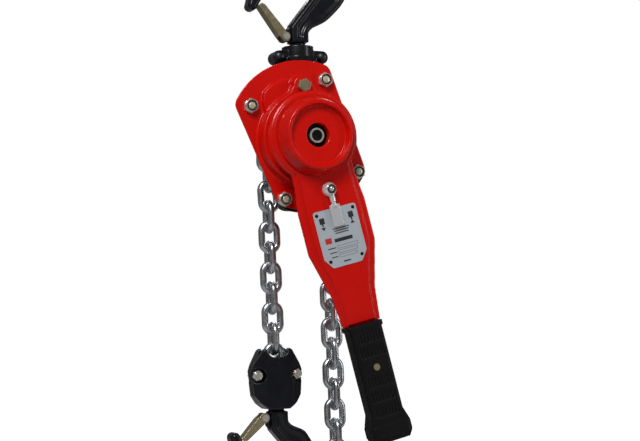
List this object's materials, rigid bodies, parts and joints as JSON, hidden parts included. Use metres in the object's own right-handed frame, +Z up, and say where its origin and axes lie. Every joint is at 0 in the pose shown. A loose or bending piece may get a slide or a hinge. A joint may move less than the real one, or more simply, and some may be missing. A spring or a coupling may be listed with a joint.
{
  "type": "lever chain hoist",
  "caption": "Hand lever hoist: latch hooks above and below, a chain pocket wheel with reduction gears and a load brake between side plates, and a turning ratchet lever.",
  "frame": {"origin": "the lowest point of the top hook's inner bowl, where it rests on what it hangs from", "axes": "+Z up through the top hook, -Y towards the lever and hand wheel, +X towards the slack side of the chain"},
  "size_m": [0.2028, 0.14, 0.7375],
  "materials": {
    "forged": "blue-black baked enamel on forged steel, semi-gloss",
    "red": "bright red paint, glossy",
    "plate": "black paint, semi-gloss",
    "chain": "galvanised, satin",
    "zinc": "zinc plated",
    "yellow_zinc": "yellow zinc plated",
    "bolt_black": "blackened steel",
    "machined": "machined and oiled",
    "cast": "as cast",
    "chrome": "bright chrome",
    "nameplate": "anodised, satin, printed without words",
    "bronze": "plain bearing bronze",
    "lining": "pressed friction lining, matt",
    "grip": "moulded rubber, satin"
  },
  "bodies": {
    "hook": {"top_hook": "forged", "top_latch_pin": "zinc", "top_latch_spring": "bolt_black"},
    "latch": {"top_latch": "yellow_zinc"},
    "yoke": {"top_yoke_front": "forged", "top_yoke_rear": "forged", "top_yoke_bolts": "bolt_black"},
    "frame": {"lever_side_plate": "plate", "gear_side_plate": "plate", "brake_cover": "red", "gear_cover": "red", "brake_cover_bolt": "yellow_zinc", "cover_studs": "zinc", "stay_bolts": "zinc", "frame_lock_nuts": "zinc", "plate_pins": "zinc", "sheave_bearings": "bronze", "ratchet_disc": "machined", "friction_linings": "lining", "chain_stripper": "cast", "yoke_pin": "machined", "ratchet_pawl_springs": "bolt_black", "chain_over_sheave": "chain", "tail_chain_upper": "chain"},
    "sheave": {"load_sheave": "cast", "load_gear": "machined"},
    "upper_disc": {"upper_disc_gear": "machined"},
    "lower_disc": {"lower_disc_gear": "machined"},
    "drive": {"drive_shaft": "machined", "friction_hub": "machined", "change_gear": "machined", "shaft_nut": "zinc"},
    "wheel": {"hand_wheel": "red"},
    "lever": {"lever_front_shell": "red", "lever_rear_shell": "red", "grip": "grip", "grip_screw": "yellow_zinc", "name_plate": "nameplate", "name_plate_rivets": "zinc"},
    "selector": {"selector_lever": "chrome", "selector_screw": "zinc", "change_pawl": "machined"},
    "left_pawl": {"ratchet_pawl_left": "bolt_black"},
    "right_pawl": {"ratchet_pawl_right": "bolt_black"},
    "load_roller": {"load_side_guide_roller": "machined"},
    "tail_roller": {"tail_side_guide_roller": "machined"},
    "load_run": {"load_chain_run": "chain"},
    "link_8": {"load_chain_link_8": "chain"},
    "link_9": {"load_chain_link_9": "chain"},
    "block": {"bottom_block_front": "forged", "bottom_block_rear": "forged", "bottom_block_bolts": "zinc", "bottom_block_nuts": "zinc", "chain_pin": "machined"},
    "lower_hook": {"bottom_hook": "forged", "bottom_latch_pin": "zinc", "bottom_latch_spring": "bolt_black"},
    "lower_latch": {"bottom_latch": "yellow_zinc"},
    "tail": {"tail_chain_lower": "chain", "tail_end_ring": "chain"}
  },
  "joints": [
    {"name": "top_latch_hinge", "type": "hinge", "parent": "hook", "child": "latch", "pos_m": [-0.0164, 0, -0.096], "axis": [0, 1, 0], "range_deg": [0, 40], "stiffness_Nm_per_rad": 0.05, "springref_deg": -17.19},
    {"name": "hook_swivel", "type": "hinge", "parent": "hook", "child": "yoke", "pos_m": [0, 0, -0.117], "axis": [0, 0, 1], "continuous": true},
    {"name": "frame_swing", "type": "hinge", "parent": "yoke", "child": "frame", "pos_m": [0, 0, -0.147], "axis": [0, 1, 0], "range_deg": [-25, 25]},
    {"name": "sheave_spin", "type": "hinge", "parent": "frame", "child": "sheave", "pos_m": [-0.0069, 0, -0.222], "axis": [0, 1, 0], "range_deg": [0, 144], "deforming": ["chain_over_sheave"]},
    {"name": "upper_disc_spin", "type": "hinge", "parent": "frame", "child": "upper_disc", "pos_m": [-0.0191, 0, -0.18575], "axis": [0, 1, 0], "range_deg": [-400, 0]},
    {"name": "lower_disc_spin", "type": "hinge", "parent": "frame", "child": "lower_disc", "pos_m": [0.0053, 0, -0.25825], "axis": [0, 1, 0], "range_deg": [-400, 0]},
    {"name": "drive_spin", "type": "hinge", "parent": "frame", "child": "drive", "pos_m": [-0.0069, 0, -0.222], "axis": [0, 1, 0], "range_deg": [0, 960]},
    {"name": "hand_wheel_pull", "type": "slide", "parent": "drive", "child": "wheel", "axis": [0, -1, 0], "range_m": [0, 0.005]},
    {"name": "lever_turn", "type": "hinge", "parent": "frame", "child": "lever", "pos_m": [-0.0069, 0, -0.222], "axis": [0, 1, 0], "continuous": true},
    {"name": "selector_turn", "type": "hinge", "parent": "lever", "child": "selector", "pos_m": [0.00739, 0, -0.28438], "axis": [0, 1, 0], "range_deg": [-28, 28]},
    {"name": "left_pawl_hinge", "type": "hinge", "parent": "frame", "child": "left_pawl", "pos_m": [-0.04022, 0, -0.25724], "axis": [0, -1, 0], "range_deg": [0, 12], "stiffness_Nm_per_rad": 0.02, "springref_deg": -28.65},
    {"name": "right_pawl_hinge", "type": "hinge", "parent": "frame", "child": "right_pawl", "pos_m": [0.02642, 0, -0.18676], "axis": [0, -1, 0], "range_deg": [0, 12], "stiffness_Nm_per_rad": 0.02, "springref_deg": -28.65},
    {"name": "load_roller_spin", "type": "hinge", "parent": "frame", "child": "load_roller", "pos_m": [-0.0235, 0, -0.284], "axis": [0, 1, 0], "continuous": true},
    {"name": "tail_roller_spin", "type": "hinge", "parent": "frame", "child": "tail_roller", "pos_m": [0.0097, 0, -0.284], "axis": [0, 1, 0], "continuous": true},
    {"name": "lift", "type": "slide", "parent": "frame", "child": "load_run", "axis": [0, 0, 1], "range_m": [0, 0.096]},
    {"name": "link_8_swing", "type": "hinge", "parent": "load_run", "child": "link_8", "pos_m": [-0.0451, 0, -0.44695], "axis": [1, 0, 0], "range_deg": [-15, 15]},
    {"name": "link_9_swing", "type": "hinge", "parent": "link_8", "child": "link_9", "pos_m": [-0.0451, 0, -0.47095], "axis": [0, 1, 0], "range_deg": [0, 15]},
    {"name": "block_swing", "type": "hinge", "parent": "link_9", "child": "block", "pos_m": [-0.0451, 0, -0.4856], "axis": [0, 1, 0], "range_deg": [0, 18]},
    {"name": "lower_hook_swivel", "type": "hinge", "parent": "block", "child": "lower_hook", "pos_m": [-0.0451, 0, -0.522], "axis": [0, 0, 1], "continuous": true},
    {"name": "bottom_latch_hinge", "type": "hinge", "parent": "lower_hook", "child": "lower_latch", "pos_m": [-0.0615, 0, -0.5468], "axis": [0, -1, 0], "range_deg": [0, 40], "stiffness_Nm_per_rad": 0.05, "springref_deg": -17.19},
    {"name": "tail_swing", "type": "hinge", "parent": "frame", "child": "tail", "pos_m": [0.0296, 0, -0.348], "axis": [1, 0, 0], "range_deg": [-8, 20]}
  ],
  "couplings": [
    {"joint": "drive_spin", "follows": "sheave_spin", "ratio": 6.6667},
    {"joint": "upper_disc_spin", "follows": "sheave_spin", "ratio": -2.7778},
    {"joint": "lower_disc_spin", "follows": "sheave_spin", "ratio": -2.7778},
    {"joint": "lift", "follows": "sheave_spin", "m_per_rad": 0.038197}
  ]
}
